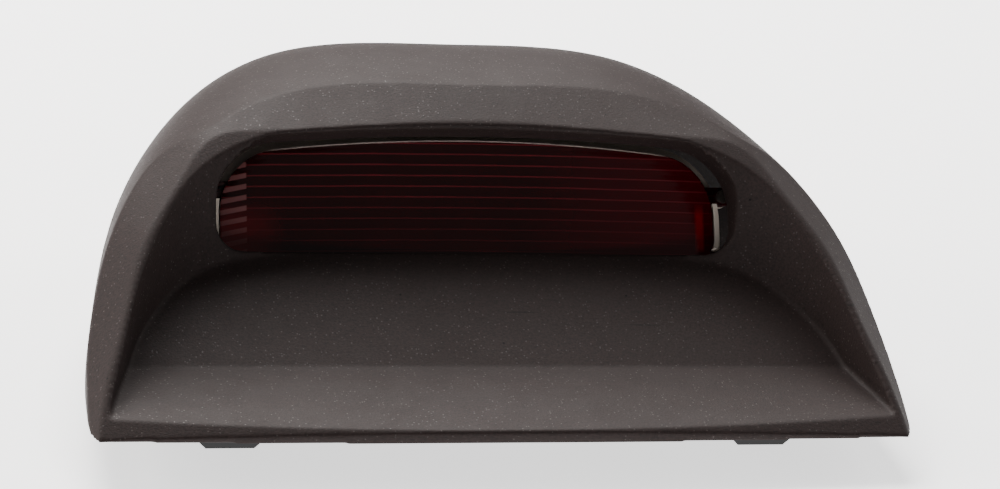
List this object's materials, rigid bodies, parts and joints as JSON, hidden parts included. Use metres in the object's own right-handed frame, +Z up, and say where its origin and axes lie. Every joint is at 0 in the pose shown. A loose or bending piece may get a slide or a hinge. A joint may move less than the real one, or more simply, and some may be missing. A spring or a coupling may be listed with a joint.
{
  "type": "third brake light",
  "caption": "Rear-shelf brake light: grained hood with an open mouth cut to the window's slope, fluted red lens, lamp body, twist-lock bulb socket and a bracket with studs and legs.",
  "frame": {"origin": "on the shelf plane, midway between the two mounting studs", "axes": "+Z up from the shelf, +Y away from the open mouth towards the inside of the car, +X to the right seen from the mouth"},
  "size_m": [0.2941, 0.1997, 0.0981],
  "materials": {
    "hood_plastic": "grained",
    "lens_red": "gloss, translucent",
    "foam": "matt foam",
    "ivory_plastic": "satin",
    "bright_film": "bright metallised",
    "bulb_glass": "clear",
    "tungsten": "dark wire",
    "lead_wire": "plain wire",
    "black_plastic": "satin",
    "seal_rubber": "matt",
    "contact_brass": "plain",
    "zinc_steel": "zinc plated",
    "black_steel": "satin black",
    "sleeve_plastic": "gloss",
    "spring_steel": "oiled"
  },
  "bodies": {
    "lamp_base": {"base_bracket": "black_steel", "lamp_housing": "ivory_plastic", "reflector": "bright_film", "lens": "lens_red", "lens_gasket": "foam", "lens_screws": "zinc_steel", "housing_screws": "zinc_steel", "housing_nuts": "zinc_steel", "mount_studs": "zinc_steel", "hood_clips": "spring_steel", "harness_clip": "black_plastic", "leg_sleeves": "sleeve_plastic"},
    "hood": {"hood_cover": "hood_plastic"},
    "socket": {"bulb_socket": "black_plastic", "socket_seal": "seal_rubber", "contact_left": "contact_brass", "contact_right": "contact_brass", "bulb_glass": "bulb_glass", "bulb_filament": "tungsten", "bulb_leads": "lead_wire"}
  },
  "joints": [
    {"name": "hood_lift", "type": "slide", "parent": "lamp_base", "child": "hood", "axis": [0, 0, 1], "range_m": [0, 0.1]},
    {"name": "socket_twist", "type": "hinge", "parent": "lamp_base", "child": "socket", "pos_m": [0, 0.02, 0.04], "axis": [0, 1, 0], "range_deg": [0, 45]}
  ]
}
